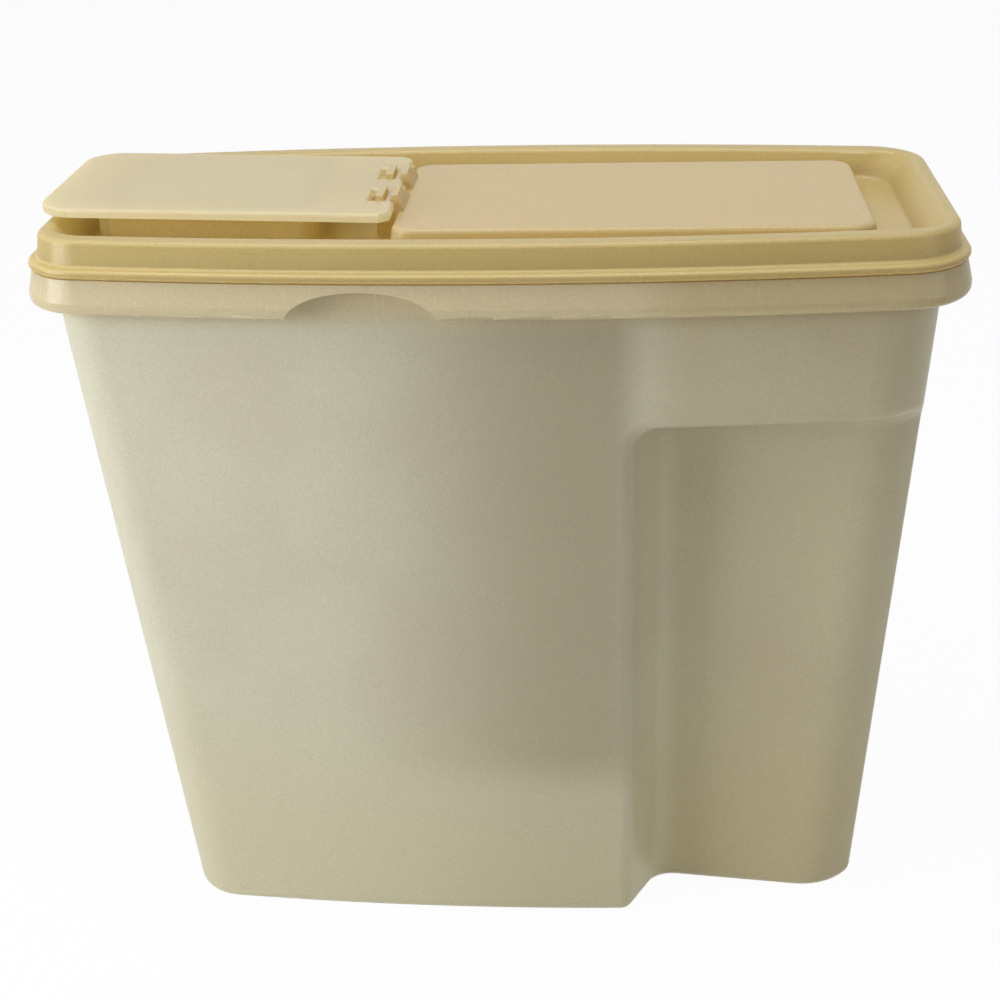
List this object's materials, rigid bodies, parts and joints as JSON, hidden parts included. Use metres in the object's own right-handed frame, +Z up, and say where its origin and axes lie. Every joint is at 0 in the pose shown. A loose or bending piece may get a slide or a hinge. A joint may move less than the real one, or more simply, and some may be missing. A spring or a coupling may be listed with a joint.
{
  "type": "cereal container",
  "caption": "Tall dry-food keeper with a tapered translucent body, a waisted grip at one end, a lid that snaps over the rim and a flip-up pour flap on moulded pins.",
  "frame": {"origin": "middle of the overall footprint, at the flat base's height", "axes": "+X along the length towards the grip end, with the pour flap at -X; +Y across the width towards the back; +Z up"},
  "size_m": [0.2518, 0.1164, 0.2209],
  "materials": {
    "body_plastic": "milky translucent moulded polypropylene, fine satin",
    "lid_plastic": "cream moulded polyethylene, soft satin"
  },
  "bodies": {
    "container_body": {"container_body": "body_plastic"},
    "lid": {"lid": "lid_plastic"},
    "pour_flap": {"pour_flap": "lid_plastic"}
  },
  "joints": [
    {"name": "lid_lift", "type": "slide", "parent": "container_body", "child": "lid", "axis": [0, 0, 1], "range_m": [0, 0.15]},
    {"name": "flap_hinge", "type": "hinge", "parent": "lid", "child": "pour_flap", "pos_m": [-0.0298, 0, 0.2172], "axis": [0, 1, 0], "range_deg": [0, 120]}
  ]
}
